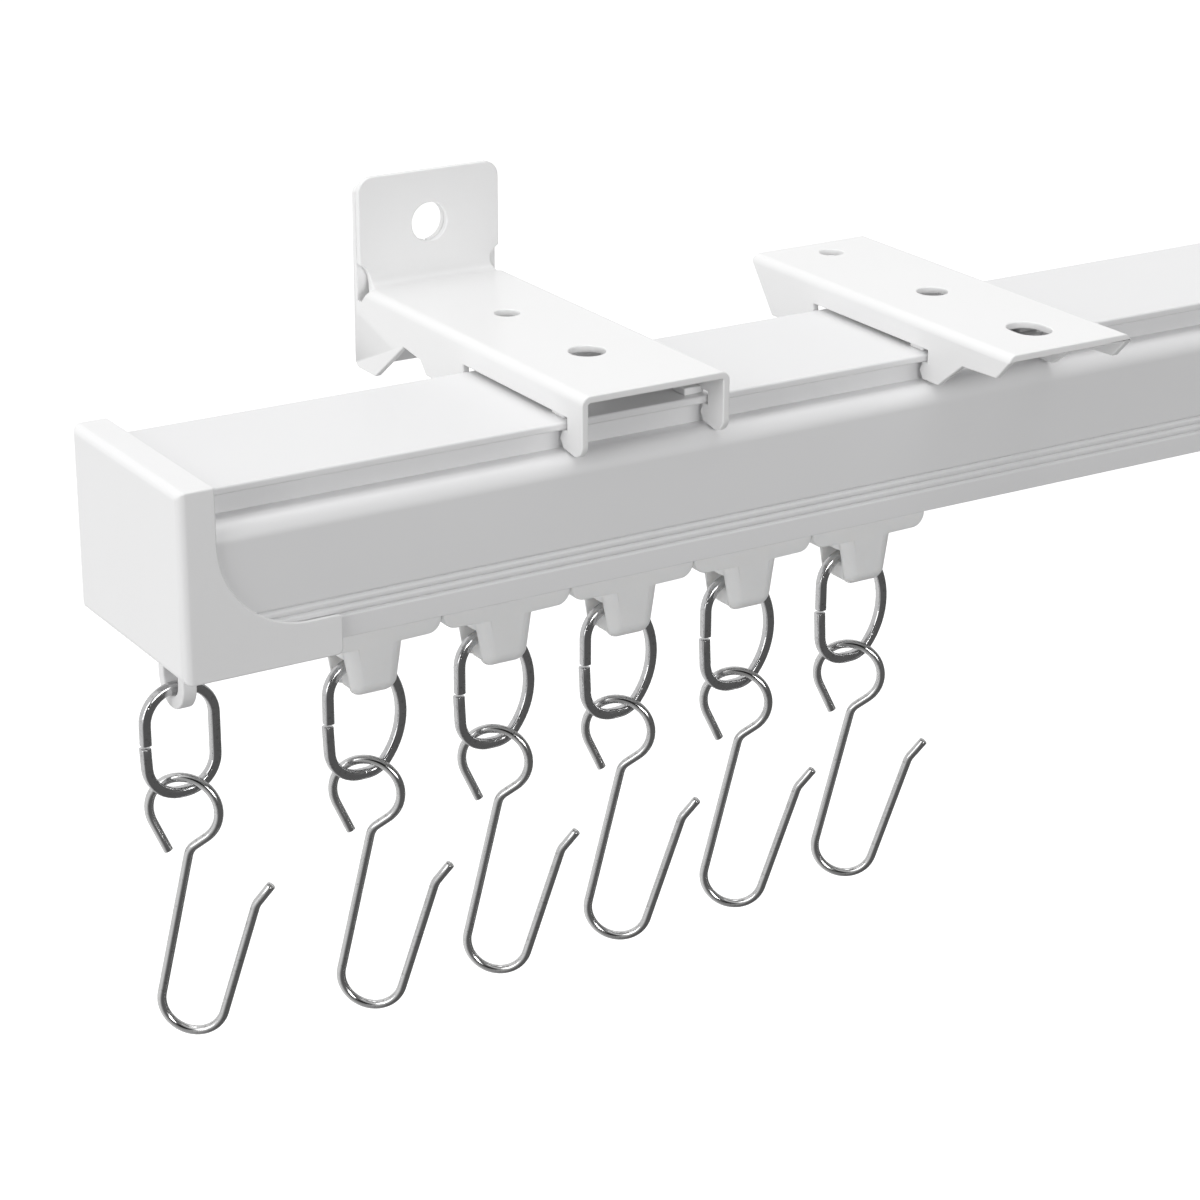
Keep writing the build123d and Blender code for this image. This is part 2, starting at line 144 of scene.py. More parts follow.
class HookShape(bpy.types.PropertyGroup):
    """Sizes of the bent hooks, to the wire's centre line"""
    wire: FloatProperty(name="Wire", description="Diameter of the wire", default=1.25 * MM,
                        subtype="DISTANCE")
    lean: FloatProperty(name="Lean", description="How far the hook hangs out of the vertical",
                        default=math.radians(12.3), subtype="ANGLE")
    loop: FloatProperty(name="Loop", description="Radius of the loop", default=4.62 * MM, subtype="DISTANCE")
    tail_angle: FloatProperty(name="Tail angle", description="Where the loop's tail leaves it",
                              default=math.radians(218), subtype="ANGLE")
    tail: FloatProperty(name="Tail", description="Length of the straight tail", default=4.4 * MM,
                        subtype="DISTANCE")
    neck_angle: FloatProperty(name="Neck angle", description="Where the loop runs into the shank",
                              default=math.radians(-40), subtype="ANGLE")
    neck_bend: FloatProperty(name="Neck bend", description="Radius of the bend into the shank",
                             default=2.5 * MM, subtype="DISTANCE")
    shank_offset: FloatProperty(name="Shank offset", description="Shank to the middle of the loop",
                                default=1.67 * MM, subtype="DISTANCE")
    shank: FloatProperty(name="Shank", description="Loop's middle down to the bottom bend", default=27 * MM,
                         subtype="DISTANCE")
    bend: FloatProperty(name="Bend", description="Radius of the bottom bend", default=4.3 * MM,
                        subtype="DISTANCE")
    arm_splay: FloatProperty(name="Arm splay", description="How far the free arm opens",
                             default=math.radians(4.5), subtype="ANGLE")
    arm: FloatProperty(name="Arm", description="Length of the free arm", default=16.8 * MM,
                       subtype="DISTANCE")
    tip_splay: FloatProperty(name="Tip splay", description="How far the tip opens", default=math.radians(24),
                             subtype="ANGLE")
    tip: FloatProperty(name="Tip", description="Length of the tip", default=3.6 * MM, subtype="DISTANCE")
    tip_bend: FloatProperty(name="Tip bend", description="Radius of the bend at the tip", default=3 * MM,
                            subtype="DISTANCE")
    color: FloatVectorProperty(name="Steel", description="Colour of the drawn wire", subtype="COLOR", size=3,
                               default=(0.62, 0.62, 0.62))


class StageSetup(bpy.types.PropertyGroup):
    """Camera, floor and lights"""
    camera_place: FloatVectorProperty(
        name="Camera", description="Place of the camera", subtype="TRANSLATION", size=3,
        default=(-0.2151, -0.3961, 0.1165))
    heading: FloatProperty(name="Heading", description="Camera's turn from +Y towards +X",
                           default=math.radians(31.73), subtype="ANGLE")
    pitch: FloatProperty(name="Pitch", description="How far the camera looks down",
                         default=math.radians(21.20), subtype="ANGLE")
    roll: FloatProperty(name="Roll", description="Camera's roll", default=math.radians(0.16), subtype="ANGLE")
    lens: FloatProperty(name="Lens", description="Focal length in millimetres", default=97.44)
    floor_gap: FloatProperty(name="Floor gap", description="Floor below the lowest hook", default=0.16,
                             subtype="DISTANCE")
    floor_size: FloatProperty(name="Floor size", description="Side of the floor", default=12.0,
                              subtype="DISTANCE")
    floor_color: FloatVectorProperty(name="Floor", description="Colour of the floor", subtype="COLOR", size=3,
                                     default=(0.90, 0.90, 0.90))
    floor_glow: FloatProperty(name="Floor glow", description="Light that the floor adds for the eye",
                              default=0.45)
    studio_dim: FloatProperty(name="Dim side", description="Brightness of the studio behind the camera",
                              default=0.14)
    studio_bright: FloatProperty(name="Bright side", description="Brightness of the studio behind the set",
                                 default=0.92)


# ---- material parts ------------------------------------------------------------------
def group_tree(name, inputs, outputs):
    """A new shader node group with its sockets, and its input and output nodes."""
    tree = bpy.data.node_groups.new(name, "ShaderNodeTree")
    for label, kind, default in inputs:
        socket = tree.interface.new_socket(label, in_out="INPUT", socket_type=kind)
        if default is not None:
            socket.default_value = default
    for label, kind in outputs:
        tree.interface.new_socket(label, in_out="OUTPUT", socket_type=kind)
    return tree, tree.nodes.new("NodeGroupInput"), tree.nodes.new("NodeGroupOutput")


def add(tree, kind, **values):
    """A node whose keywords set its attributes, or its inputs by their names."""
    node = tree.nodes.new(kind)
    for key, value in values.items():
        if hasattr(node, key):
            setattr(node, key, value)
        else:
            node.inputs[key.replace("_", " ")].default_value = value
    return node


def math_node(tree, operation, first, second):
    node = add(tree, "ShaderNodeMath", operation=operation)
    for socket, value in zip(node.inputs, (first, second)):
        if isinstance(value, (int, float)):
            socket.default_value = value
        else:
            tree.links.new(value, socket)
    return node.outputs[0]


def make_grain_group():
    """Fine moulded or sprayed grain: a height made of two sizes of soft bumps."""
    tree, given, result = group_tree(
        "surface_grain",
        [("Vector", "NodeSocketVector", None), ("Fine", "NodeSocketFloat", 4000.0),
         ("Coarse", "NodeSocketFloat", 900.0), ("Balance", "NodeSocketFloat", 0.5)],
        [("Height", "NodeSocketFloat")])
    fine = add(tree, "ShaderNodeTexNoise", Detail=2.0, Roughness=0.5)
    coarse = add(tree, "ShaderNodeTexNoise", Detail=1.0, Roughness=0.4)
    mix = add(tree, "ShaderNodeMix", data_type="FLOAT")
    for node, scale in ((fine, "Fine"), (coarse, "Coarse")):
        tree.links.new(given.outputs["Vector"], node.inputs["Vector"])
        tree.links.new(given.outputs[scale], node.inputs["Scale"])
    tree.links.new(given.outputs["Balance"], mix.inputs["Factor"])
    tree.links.new(fine.outputs[0], mix.inputs["A"])
    tree.links.new(coarse.outputs[0], mix.inputs["B"])
    tree.links.new(mix.outputs["Result"], result.inputs["Height"])
    return tree


def make_handling_group():
    """Faint cloudiness and dust: shifts a colour and a roughness over the surface."""
    tree, given, result = group_tree(
        "surface_handling",
        [("Vector", "NodeSocketVector", None), ("Color", "NodeSocketColor", (0.8, 0.8, 0.8, 1)),
         ("Roughness", "NodeSocketFloat", 0.4), ("Scale", "NodeSocketFloat", 60.0),
         ("Color Change", "NodeSocketFloat", 0.04), ("Roughness Change", "NodeSocketFloat", 0.1)],
        [("Color", "NodeSocketColor"), ("Roughness", "NodeSocketFloat")])
    cloud = add(tree, "ShaderNodeTexNoise", Detail=4.0, Roughness=0.55)
    tree.links.new(given.outputs["Vector"], cloud.inputs["Vector"])
    tree.links.new(given.outputs["Scale"], cloud.inputs["Scale"])
    centred = math_node(tree, "SUBTRACT", cloud.outputs[0], 0.5)
    shade = math_node(tree, "MULTIPLY", centred, given.outputs["Color Change"])
    bright = math_node(tree, "ADD", shade, 1.0)
    tint = add(tree, "ShaderNodeVectorMath", operation="SCALE")
    tree.links.new(given.outputs["Color"], tint.inputs[0])
    tree.links.new(bright, tint.inputs["Scale"])
    rough = math_node(tree, "MULTIPLY", centred, given.outputs["Roughness Change"])
    tree.links.new(tint.outputs[0], result.inputs["Color"])
    tree.links.new(math_node(tree, "ADD", rough, given.outputs["Roughness"]), result.inputs["Roughness"])
    return tree


def make_drawn_group():
    """Marks of the drawing die, which run along the wire wherever it is bent."""
    tree, given, result = group_tree(
        "drawn_wire_marks",
        [("Along", "NodeSocketFloat", 60.0), ("Across", "NodeSocketFloat", 6000.0)],
        [("Marks", "NodeSocketFloat"), ("Pits", "NodeSocketFloat")])
    drawn = add(tree, "ShaderNodeAttribute", attribute_name="drawn")
    spread = add(tree, "ShaderNodeCombineXYZ")
    for axis, rate in (("X", "Across"), ("Y", "Across"), ("Z", "Along")):
        tree.links.new(given.outputs[rate], spread.inputs[axis])
    placed = add(tree, "ShaderNodeVectorMath", operation="MULTIPLY")
    tree.links.new(drawn.outputs["Vector"], placed.inputs[0])
    tree.links.new(spread.outputs[0], placed.inputs[1])
    marks = add(tree, "ShaderNodeTexNoise", Scale=1.0, Detail=3.0, Roughness=0.6)
    tree.links.new(placed.outputs[0], marks.inputs["Vector"])
    pits = add(tree, "ShaderNodeTexNoise", Scale=1800.0, Detail=2.0, Roughness=0.5)
    tree.links.new(drawn.outputs["Vector"], pits.inputs["Vector"])
    ramp = add(tree, "ShaderNodeMapRange", From_Min=0.58, From_Max=0.75)
    tree.links.new(pits.outputs[0], ramp.inputs["Value"])
    tree.links.new(marks.outputs[0], result.inputs["Marks"])
    tree.links.new(ramp.outputs[0], result.inputs["Pits"])
    return tree


class MaterialKit:
    """Builds one material: its shader, its coordinates and the shared groups placed in it."""

    def __init__(self, name, **constants):
        self.material = bpy.data.materials.new(name)
        self.material.use_nodes = True
        self.tree = self.material.node_tree
        self.shader = self.tree.nodes["Principled BSDF"]
        for key, value in constants.items():
            self.shader.inputs[key.replace("_", " ")].default_value = value
        self.coordinates = add(self.tree, "ShaderNodeTexCoord").outputs["Object"]

    def group(self, tree, **values):
        node = self.tree.nodes.new("ShaderNodeGroup")
        node.node_tree = tree
        for key, value in values.items():
            node.inputs[key.replace("_", " ")].default_value = value
        if "Vector" in node.inputs:
            self.tree.links.new(self.coordinates, node.inputs["Vector"])
        return node

    def stretched(self, scale):
        """Object coordinates squeezed by a scale for each axis, for marks that run one way."""
        mapping = add(self.tree, "ShaderNodeMapping")
        mapping.inputs["Scale"].default_value = scale
        self.tree.links.new(self.coordinates, mapping.inputs["Vector"])
        return mapping.outputs[0]

    def feed(self, output, socket):
        self.tree.links.new(output, self.shader.inputs[socket])

    def bump(self, height, distance, strength=1.0):
        node = add(self.tree, "ShaderNodeBump", Strength=strength, Distance=distance)
        self.tree.links.new(height, node.inputs["Height"])
        self.feed(node.outputs[0], "Normal")
        return node


def rgba(color):
    return (*color, 1.0)


def make_rail_material(groups, color):
    """Sprayed white aluminium, with the faint lines that the extrusion die leaves along it."""
    kit = MaterialKit("coated_aluminium", Coat_Weight=0.25, Coat_Roughness=0.18, Specular_IOR_Level=0.45)
    handling = kit.group(groups["handling"], Color=rgba(color), Roughness=0.42, Scale=35.0,
                         Color_Change=0.03, Roughness_Change=0.12)
    lines = add(kit.tree, "ShaderNodeTexNoise", Scale=1.0, Detail=3.0, Roughness=0.5)
    kit.tree.links.new(kit.stretched((9.0, 1500.0, 1500.0)), lines.inputs["Vector"])
    grain = kit.group(groups["grain"], Fine=5200.0, Coarse=1100.0, Balance=0.35)
    drawn_lines = math_node(kit.tree, "MULTIPLY", lines.outputs[0], 0.6)
    height = math_node(kit.tree, "ADD", drawn_lines, grain.outputs[0])
    kit.bump(height, 0.000006, 0.6)
    kit.feed(handling.outputs["Color"], "Base Color")
    kit.feed(handling.outputs["Roughness"], "Roughness")
    return kit.material


def make_cap_material(groups, color):
    """Matt moulded plastic with a spark-eroded grain."""
    kit = MaterialKit("moulded_plastic", Specular_IOR_Level=0.5, Subsurface_Weight=0.06,
                      Subsurface_Scale=0.0006, Subsurface_Radius=(1.0, 1.0, 1.0))
    handling = kit.group(groups["handling"], Color=rgba(color), Roughness=0.46, Scale=70.0,
                         Color_Change=0.025, Roughness_Change=0.1)
    grain = kit.group(groups["grain"], Fine=4300.0, Coarse=1700.0, Balance=0.4)
    kit.bump(grain.outputs[0], 0.00002, 0.55)
    kit.feed(handling.outputs["Color"], "Base Color")
    kit.feed(handling.outputs["Roughness"], "Roughness")
    return kit.material


def make_bracket_material(groups, color):
    """Powder coat, which flows out to a soft orange peel."""
    kit = MaterialKit("powder_coat", Coat_Weight=0.4, Coat_Roughness=0.12, Specular_IOR_Level=0.5)
    handling = kit.group(groups["handling"], Color=rgba(color), Roughness=0.36, Scale=90.0,
                         Color_Change=0.02, Roughness_Change=0.14)
    peel = kit.group(groups["grain"], Fine=2600.0, Coarse=620.0, Balance=0.7)
    kit.bump(peel.outputs[0], 0.00003, 0.45)
    kit.feed(handling.outputs["Color"], "Base Color")
    kit.feed(handling.outputs["Roughness"], "Roughness")
    return kit.material


def make_nylon_material(groups, color):
    """Natural white nylon, a little cloudy and lit from inside."""
    kit = MaterialKit("natural_nylon", Specular_IOR_Level=0.5, Subsurface_Weight=0.45,
                      Subsurface_Scale=0.0022, Subsurface_Radius=(1.0, 0.95, 0.9))
    handling = kit.group(groups["handling"], Color=rgba(color), Roughness=0.34, Scale=260.0,
                         Color_Change=0.07, Roughness_Change=0.16)
    grain = kit.group(groups["grain"], Fine=3000.0, Coarse=800.0, Balance=0.6)
    kit.bump(grain.outputs[0], 0.00002, 0.4)
    kit.feed(handling.outputs["Color"], "Base Color")
    kit.feed(handling.outputs["Roughness"], "Roughness")
    return kit.material


def make_wire_material(groups, name, color, roughness, mark_depth):
    """Bright drawn wire: die marks along it and a few small pits."""
    kit = MaterialKit(name, Metallic=1.0, Specular_IOR_Level=0.5)
    drawn = kit.group(groups["drawn"])
    handling = kit.group(groups["handling"], Color=rgba(color), Roughness=roughness, Scale=240.0,
                         Color_Change=0.18, Roughness_Change=0.16)
    dark = add(kit.tree, "ShaderNodeMix", data_type="RGBA", blend_type="MULTIPLY")
    dark.inputs["B"].default_value = (0.55, 0.54, 0.52, 1)
    kit.tree.links.new(math_node(kit.tree, "MULTIPLY", drawn.outputs["Pits"], 0.6), dark.inputs["Factor"])
    kit.tree.links.new(handling.outputs["Color"], dark.inputs["A"])
    kit.feed(dark.outputs["Result"], "Base Color")
    centred = math_node(kit.tree, "SUBTRACT", drawn.outputs["Marks"], 0.5)
    streak = math_node(kit.tree, "MULTIPLY", centred, 0.22)
    kit.feed(math_node(kit.tree, "ADD", handling.outputs["Roughness"], streak), "Roughness")
    depth = math_node(kit.tree, "SUBTRACT", drawn.outputs["Marks"], drawn.outputs["Pits"])
    kit.bump(depth, mark_depth, 0.7)
    return kit.material


def make_floor_material(color, glow):
    """Plain pale paper, lit up a little for the eye, that leaves the studio's own light as it is."""
    kit = MaterialKit("floor_pale", Roughness=0.9, Specular_IOR_Level=0.1, Emission_Strength=glow)
    tone = add(kit.tree, "ShaderNodeTexNoise", Scale=3.0, Detail=2.0)
    kit.tree.links.new(kit.coordinates, tone.inputs["Vector"])
    mix = add(kit.tree, "ShaderNodeMix", data_type="RGBA")
    mix.inputs["A"].default_value = rgba(color)
    mix.inputs["B"].default_value = rgba([part * 0.99 for part in color])
    kit.tree.links.new(tone.outputs[0], mix.inputs["Factor"])
    kit.feed(mix.outputs["Result"], "Base Color")
    kit.feed(mix.outputs["Result"], "Emission Color")
    unseen = add(kit.tree, "ShaderNodeBsdfTransparent")
    choose = add(kit.tree, "ShaderNodeMixShader")
    path = add(kit.tree, "ShaderNodeLightPath")
    kit.tree.links.new(path.outputs["Is Camera Ray"], choose.inputs[0])
    kit.tree.links.new(unseen.outputs[0], choose.inputs[1])
    kit.tree.links.new(kit.shader.outputs[0], choose.inputs[2])
    kit.tree.links.new(choose.outputs[0], kit.tree.nodes["Material Output"].inputs["Surface"])
    return kit.material


def finished(name):
    """A finish that the materials operator has made."""
    material = bpy.data.materials.get(name)
    if material is None:
        raise RuntimeError(f"make the materials first: there is no {name}")
    return material


# ---- shapes --------------------------------------------------------------------------
def place_piece(mesh, name, node):
    """Shows a finished mesh in place of a CAD node, on the node's body and with its slot."""
    piece = bpy.data.objects.new(name, mesh)
    bpy.context.scene.collection.objects.link(piece)
    mesh.materials.clear()
    mesh.materials.append(finished(FINISH_OF[SLOT_OF[node]]))
    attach(piece, BODY_OF[node])
    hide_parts(node)
    return piece


def merged_copy(source, distance):
    """A CAD mesh with its loose triangles joined and its flat faces made whole."""
    shape = source.copy()
    bmesh.ops.remove_doubles(shape, verts=shape.verts, dist=distance)
    bmesh.ops.dissolve_limit(shape, angle_limit=FLAT_ANGLE, verts=shape.verts, edges=shape.edges)
    return shape


def round_sharp_edges(shape, width, segments):
    """Rounds the outer sharp edges, apart from those that end where the faces are too narrow for it."""
    sharp = {edge for edge in shape.edges if edge.calc_face_angle(0) > SHARP_ANGLE}
    short = {edge for edge in shape.edges if edge not in sharp and edge.calc_length() < NARROW_SHARE * width}
    narrow = {vert for edge in short for vert in edge.verts}
    rounded = [edge for edge in shape.edges
               if edge in sharp and edge.is_convex and narrow.isdisjoint(edge.verts)]
    bmesh.ops.bevel(shape, geom=rounded, offset=width, segments=segments, profile=0.5, affect="EDGES",
                    material=-1, clamp_overlap=False, miter_outer="ARC")


def strays(shape, surface, distance):
    """Whether a point of the shape stands further off the surface than it may."""
    return any(surface.find_nearest(vert.co)[3] > distance for vert in shape.verts)


def softened_copy(node, name, width, segments=2):
    """A copy of a CAD node with its sharp edges rounded, as far as its faces leave room for it."""
    source = bmesh.new()
    source.from_mesh(frame["nodes"][node].data)
    surface = BVHTree.FromBMesh(source)
    for distance in MERGE_DISTANCES:
        shape = merged_copy(source, distance)
        round_sharp_edges(shape, width, segments)
        if not strays(shape, surface, width / 2):
            break
        shape.free()
    else:
        shape = merged_copy(source, MERGE_DISTANCES[0])
    source.free()
    for edge in shape.edges:
        edge.smooth = edge.calc_face_angle(0) < CREASE_ANGLE
    mesh = bpy.data.meshes.new(name)
    shape.to_mesh(mesh)
    shape.free()
    mesh.shade_smooth()
    piece = place_piece(mesh, name, node)
    piece.modifiers.new("flat_faces", "WEIGHTED_NORMAL").keep_sharp = True
    return piece


class BentWire:
    """Wire fed out straight and bent as it goes, in an XZ plane. Each point keeps its place along it."""

    def __init__(self, start, heading):
        self.shape = bmesh.new()
        self.heading = heading
        self.place = Vector(start)
        self.ring = []
        self.layer = None

    def round_section(self, radius, segments):
        bmesh.ops.create_circle(self.shape, segments=segments, radius=radius)
        self.begin()

    def square_section(self, side, edge):
        bmesh.ops.create_circle(self.shape, segments=4, radius=side / math.sqrt(2),
                                matrix=Matrix.Rotation(math.radians(45), 4, "Z"))
        bmesh.ops.bevel(self.shape, geom=self.shape.verts[:], offset=edge, segments=3, profile=0.5,
                        affect="VERTICES", material=-1)
        bmesh.ops.subdivide_edges(self.shape, cuts=1, edges=[
            side_edge for side_edge in self.shape.edges if side_edge.calc_length() > side / 4])
        self.begin()

    def begin(self):
        self.layer = self.shape.verts.layers.float_vector.new("drawn")
        for vert in self.shape.verts:
            vert[self.layer] = vert.co.copy()
        move = Matrix.Translation(self.place) @ Matrix.Rotation(self.heading, 4, "Y")
        bmesh.ops.transform(self.shape, matrix=move, verts=self.shape.verts)
        self.ring = self.shape.edges[:]
        bmesh.ops.contextual_create(self.shape, geom=self.ring)

    def push(self, move, length):
        grown = bmesh.ops.extrude_edge_only(self.shape, edges=self.ring)["geom"]
        verts = [item for item in grown if isinstance(item, bmesh.types.BMVert)]
        fresh = set(verts)
        self.ring = [item for item in grown
                     if isinstance(item, bmesh.types.BMEdge) and fresh.issuperset(item.verts)]
        bmesh.ops.transform(self.shape, matrix=move, verts=verts)
        for vert in verts:
            vert[self.layer] += Vector((0, 0, length))
        self.place = move @ self.place

    def run(self, length, steps=1):
        """Straight on."""
        ahead = Vector((math.sin(self.heading), 0, math.cos(self.heading)))
        for _ in range(steps):
            self.push(Matrix.Translation(ahead * length / steps), length / steps)

    def turn(self, angle, radius, steps):
        """Bent through an angle, to the right when it is positive."""
        side = Vector((math.cos(self.heading), 0, -math.sin(self.heading))) * math.copysign(radius, angle)
        centre = Matrix.Translation(self.place + side)
        move = centre @ Matrix.Rotation(angle / steps, 4, "Y") @ centre.inverted()
        for _ in range(steps):
            self.push(move, abs(angle) * radius / steps)
        self.heading += angle

    def close(self, name, place, end_round):
        """Closes both cut ends, rounds their rims and moves the wire to its place."""
        bmesh.ops.contextual_create(self.shape, geom=self.ring)
        bmesh.ops.recalc_face_normals(self.shape, faces=self.shape.faces)
        rims = {edge for face in self.shape.faces if len(face.verts) > 4 for edge in face.edges}
        bmesh.ops.bevel(self.shape, geom=list(rims), offset=end_round, segments=2, profile=0.5,
                        affect="EDGES", material=-1)
        bmesh.ops.transform(self.shape, matrix=place, verts=self.shape.verts)
        mesh = bpy.data.meshes.new(name)
        self.shape.to_mesh(mesh)
        self.shape.free()
        mesh.shade_smooth()
        return mesh


def polar(angle, radius):
    return Vector((math.cos(angle), 0, math.sin(angle))) * radius


def bent_link(node, sizes, corner, bowed):
    """One split oval link; its far side is straight, or bowed like a pressed ring."""
    low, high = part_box(node)
    half_width = (high.x - low.x - sizes.wire) / 2
    half_height = (high.z - low.z - sizes.wire) / 2
    bend = corner - sizes.wire / 2
    side = half_height - bend
    quarter = math.pi / 2
    wire = BentWire((-half_width, 0, sizes.split / 2), 0)
    wire.square_section(sizes.wire, sizes.edge)
    wire.run(side - sizes.split / 2, 2)
    wire.turn(quarter, bend, 14)
    wire.run(half_width - bend, 1)
    if bowed:
        share = math.radians(50)
        sine, cosine = math.sin(share), math.cos(share)
        scale = sine * cosine - (1 - sine) * (1 - cosine)
        tight = (half_width * cosine - half_height * (1 - sine)) / scale
        slack = (half_height * sine - half_width * (1 - cosine)) / scale
        wire.turn(share, tight, 9)
        wire.turn(math.pi - 2 * share, slack, 16)
        wire.turn(share, tight, 9)
    else:
        wire.run(half_width - bend, 1)
        wire.turn(quarter, bend, 14)
        wire.run(2 * side, 3)
        wire.turn(quarter, bend, 14)
        wire.run(half_width - bend, 1)
    wire.run(half_width - bend, 1)
    wire.turn(quarter, bend, 14)
    wire.turn(-sizes.spring, bend, 2)
    wire.run(side - sizes.split / 2 - sizes.spring * bend, 2)
    name = node + "_bent"
    return place_piece(wire.close(name, Matrix.Translation((low + high) / 2), 0.07 * MM), name, node)


def bent_hook(node, sizes):
    """One hook: tail, loop, neck, shank, bottom bend, free arm and tip."""
    joint = HOOK_JOINTS[node]
    normal = Vector(joint["axis"]).normalized()
    along = UP.cross(normal)
    loop_turn = sizes.tail_angle - sizes.neck_angle
    tail_way = sizes.tail_angle - math.pi / 2
    start = polar(sizes.tail_angle, sizes.loop) - polar(tail_way, sizes.tail)
    wire = BentWire(start, math.pi / 2 - tail_way)
    wire.round_section(sizes.wire / 2, 20)
    wire.run(sizes.tail, 2)
    wire.turn(loop_turn, sizes.loop, 44)

    neck = polar(sizes.neck_angle, sizes.loop)
    neck_turn = -sizes.neck_angle
    slant = (neck.x - sizes.shank_offset) / math.sin(neck_turn)
    cut = sizes.neck_bend * math.tan(neck_turn / 2)
    wire.run(slant - cut, 1)
    wire.turn(-neck_turn, sizes.neck_bend, 8)
    drop = sizes.shank + neck.z - slant * math.cos(neck_turn)
    wire.run(drop - cut, 6)
    wire.turn(-(math.pi - sizes.arm_splay), sizes.bend, 32)
    tip_turn = sizes.tip_splay - sizes.arm_splay
    tip_cut = sizes.tip_bend * math.tan(tip_turn / 2)
    wire.run(sizes.arm - tip_cut, 5)
    wire.turn(tip_turn, sizes.tip_bend, 5)
    wire.run(sizes.tip - tip_cut, 2)

    axes = Matrix((along, -normal, UP)).transposed().to_4x4()
    place = Matrix.Translation(Vector(joint["pos_m"])) @ axes @ Matrix.Rotation(sizes.lean, 4, "Y")
    name = node + "_bent"
    return place_piece(wire.close(name, place, 0.12 * MM), name, node)


# ---- operators -----------------------------------------------------------------------
class CURTAINRAIL_OT_materials(bpy.types.Operator):
    """Make the finishes of every part"""
    bl_idname = "curtainrail.materials"
    bl_label = "Make Finishes"

    def execute(self, context):
        finish, links, hooks = context.scene.rail_finish, context.scene.link_shape, context.scene.hook_shape
        groups = {"grain": make_grain_group(), "handling": make_handling_group(), "drawn": make_drawn_group()}
        make_rail_material(groups, finish.rail_color)
        make_cap_material(groups, finish.cap_color)
        make_bracket_material(groups, finish.bracket_color)
        make_nylon_material(groups, finish.nylon_color)
        make_wire_material(groups, "zinc_plated_wire", links.color, 0.17, 0.00002)
        make_wire_material(groups, "bright_drawn_wire", hooks.color, 0.14, 0.00001)
        return {"FINISHED"}


class CURTAINRAIL_OT_rail(bpy.types.Operator):
    """Finish the extruded rail"""
    bl_idname = "curtainrail.rail"
    bl_label = "Finish Rail"

    def execute(self, context):
        for node in RAIL_NODES:
            softened_copy(node, node + "_coated", context.scene.rail_finish.rail_edge)
        return {"FINISHED"}


class CURTAINRAIL_OT_caps(bpy.types.Operator):
    """Finish the moulded end caps"""
    bl_idname = "curtainrail.caps"
    bl_label = "Finish End Caps"

    def execute(self, context):
        for node in CAP_NODES:
            softened_copy(node, node + "_moulded", context.scene.rail_finish.cap_edge, 3)
        return {"FINISHED"}


class CURTAINRAIL_OT_brackets(bpy.types.Operator):
    """Finish the folded brackets"""
    bl_idname = "curtainrail.brackets"
    bl_label = "Finish Brackets"

    def execute(self, context):
        for node in BRACKET_NODES:
            softened_copy(node, node + "_coated", context.scene.rail_finish.bracket_edge, 3)
        return {"FINISHED"}


class CURTAINRAIL_OT_gliders(bpy.types.Operator):
    """Finish the moulded gliders"""
    bl_idname = "curtainrail.gliders"
    bl_label = "Finish Gliders"

    def execute(self, context):
        for node in GLIDER_NODES:
            softened_copy(node, node + "_moulded", context.scene.rail_finish.glider_edge, 3)
        return {"FINISHED"}


class CURTAINRAIL_OT_links(bpy.types.Operator):
    """Bend the split links"""
    bl_idname = "curtainrail.links"
    bl_label = "Bend Links"

    def execute(self, context):
        sizes = context.scene.link_shape
        for node in CAP_LINKS:
            bent_link(node, sizes, sizes.cap_corner, False)
        for node in GLIDER_LINKS:
            bent_link(node, sizes, sizes.glider_corner, True)
        return {"FINISHED"}


class CURTAINRAIL_OT_hooks(bpy.types.Operator):
    """Bend the curtain hooks"""
    bl_idname = "curtainrail.hooks"
    bl_label = "Bend Hooks"

    def execute(self, context):
        for node in HOOK_NODES:
            bent_hook(node, context.scene.hook_shape)
        return {"FINISHED"}


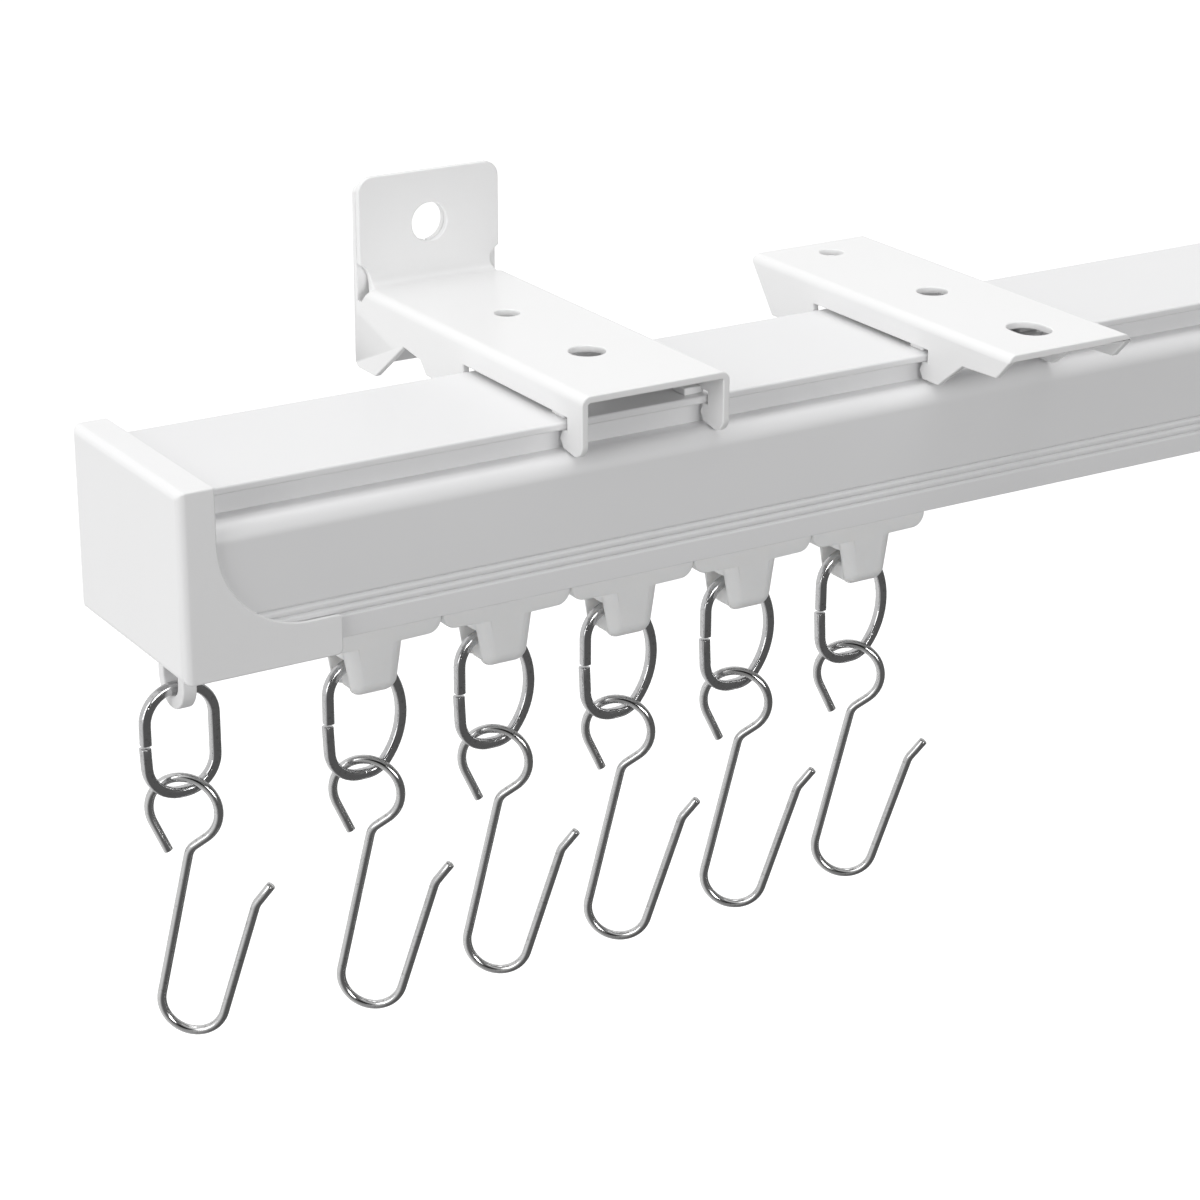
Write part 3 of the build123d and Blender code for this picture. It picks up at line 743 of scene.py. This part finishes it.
class CURTAINRAIL_OT_stage(bpy.types.Operator):
    """Set out the camera, the floor and the lights"""
    bl_idname = "curtainrail.stage"
    bl_label = "Set Out Stage"

    def execute(self, context):
        stage = context.scene.stage_setup
        self.add_camera(context, stage)
        self.add_floor(context, stage)
        self.add_lights(context, stage)
        self.add_world(context, stage)
        return {"FINISHED"}

    def add_camera(self, context, stage):
        data = bpy.data.cameras.new("camera")
        data.lens = stage.lens
        data.sensor_width = 36
        data.clip_start = 0.01
        camera = bpy.data.objects.new("camera", data)
        turn = Matrix.Rotation(-stage.heading, 4, "Z") @ Matrix.Rotation(math.pi / 2 - stage.pitch, 4, "X")
        roll = Matrix.Rotation(stage.roll, 4, "Z")
        camera.matrix_world = Matrix.Translation(stage.camera_place) @ turn @ roll
        context.scene.collection.objects.link(camera)
        context.scene.camera = camera

    def add_floor(self, context, stage):
        low, high = CAD_BOX
        shape = bmesh.new()
        bmesh.ops.create_grid(shape, x_segments=2, y_segments=2, size=stage.floor_size / 2)
        centre = Vector(((low.x + high.x) / 2, (low.y + high.y) / 2, low.z - stage.floor_gap))
        bmesh.ops.translate(shape, verts=shape.verts, vec=centre)
        mesh = bpy.data.meshes.new("floor")
        shape.to_mesh(mesh)
        shape.free()
        floor = bpy.data.objects.new("floor", mesh)
        context.scene.collection.objects.link(floor)
        mesh.materials.append(make_floor_material(stage.floor_color, stage.floor_glow))

    def add_lights(self, context, stage):
        target = Vector((0.03, -0.04, -0.02))
        for name, place, size, power in (
            ("light_top", (0.10, 0.05, 1.30), (1.2, 0.9), 6.0),
            ("light_left", (-1.20, -0.35, 0.30), (0.5, 0.9), 3.6),
            ("light_front", (0.00, -1.30, 0.30), (0.7, 0.35), 6.4),
        ):
            data = bpy.data.lights.new(name, "AREA")
            data.shape = "RECTANGLE"
            data.size, data.size_y = size
            data.energy = power
            light = bpy.data.objects.new(name, data)
            light.location = place
            light.rotation_euler = (target - light.location).to_track_quat("-Z", "Y").to_euler()
            context.scene.collection.objects.link(light)

    def add_world(self, context, stage):
        world = bpy.data.worlds.new("studio")
        world.use_nodes = True
        tree = world.node_tree
        direction = add(tree, "ShaderNodeTexCoord").outputs["Generated"]
        facing = add(tree, "ShaderNodeVectorMath", operation="DOT_PRODUCT")
        facing.inputs[1].default_value = BRIGHT_SIDE
        tree.links.new(direction, facing.inputs[0])
        level = add(tree, "ShaderNodeMapRange", interpolation_type="SMOOTHSTEP", From_Min=-0.55,
                    From_Max=0.45, To_Min=stage.studio_dim, To_Max=stage.studio_bright)
        tree.links.new(facing.outputs["Value"], level.inputs["Value"])
        card = add(tree, "ShaderNodeVectorMath", operation="DOT_PRODUCT")
        card.inputs[1].default_value = DARK_CARD
        tree.links.new(direction, card.inputs[0])
        shade = add(tree, "ShaderNodeMapRange", interpolation_type="SMOOTHSTEP", From_Min=0.86, From_Max=0.97,
                    To_Min=1.0, To_Max=0.05)
        tree.links.new(card.outputs["Value"], shade.inputs["Value"])
        base = tree.nodes["Background"]
        base.inputs["Color"].default_value = (1, 1, 1, 1)
        strength = math_node(tree, "MULTIPLY", level.outputs[0], shade.outputs[0])
        tree.links.new(strength, base.inputs["Strength"])
        seen = add(tree, "ShaderNodeBackground")
        seen.inputs["Color"].default_value = (1, 1, 1, 1)
        mix = add(tree, "ShaderNodeMixShader")
        path = add(tree, "ShaderNodeLightPath")
        tree.links.new(path.outputs["Is Camera Ray"], mix.inputs[0])
        tree.links.new(base.outputs[0], mix.inputs[1])
        tree.links.new(seen.outputs[0], mix.inputs[2])
        tree.links.new(mix.outputs[0], tree.nodes["World Output"].inputs["Surface"])
        context.scene.world = world
        context.scene.view_settings.view_transform = "Standard"


OPERATORS = [
    CURTAINRAIL_OT_materials, CURTAINRAIL_OT_stage, CURTAINRAIL_OT_rail, CURTAINRAIL_OT_caps,
    CURTAINRAIL_OT_brackets, CURTAINRAIL_OT_gliders, CURTAINRAIL_OT_links, CURTAINRAIL_OT_hooks,
]


class CURTAINRAIL_PT_sidebar(bpy.types.Panel):
    """Lists the steps that build the set"""
    bl_label = "Curtain Rail"
    bl_idname = "CURTAINRAIL_PT_sidebar"
    bl_space_type = "VIEW_3D"
    bl_region_type = "UI"
    bl_category = "Curtain Rail"

    def draw(self, context):
        for operator in OPERATORS:
            self.layout.operator(operator.bl_idname)


SETTINGS = {
    "rail_finish": RailFinish, "link_shape": LinkShape, "hook_shape": HookShape, "stage_setup": StageSetup,
}


def register():
    for settings in SETTINGS.values():
        bpy.utils.register_class(settings)
    for operator in (*OPERATORS, CURTAINRAIL_PT_sidebar):
        bpy.utils.register_class(operator)
    for name, settings in SETTINGS.items():
        setattr(bpy.types.Scene, name, PointerProperty(type=settings))


def unregister():
    for name in SETTINGS:
        delattr(bpy.types.Scene, name)
    for operator in (CURTAINRAIL_PT_sidebar, *reversed(OPERATORS)):
        bpy.utils.unregister_class(operator)
    for settings in SETTINGS.values():
        bpy.utils.unregister_class(settings)


def main():
    register()
    for operator in OPERATORS:
        group, name = operator.bl_idname.split(".")
        getattr(getattr(bpy.ops, group), name)()


if __name__ == "__main__":
    main()
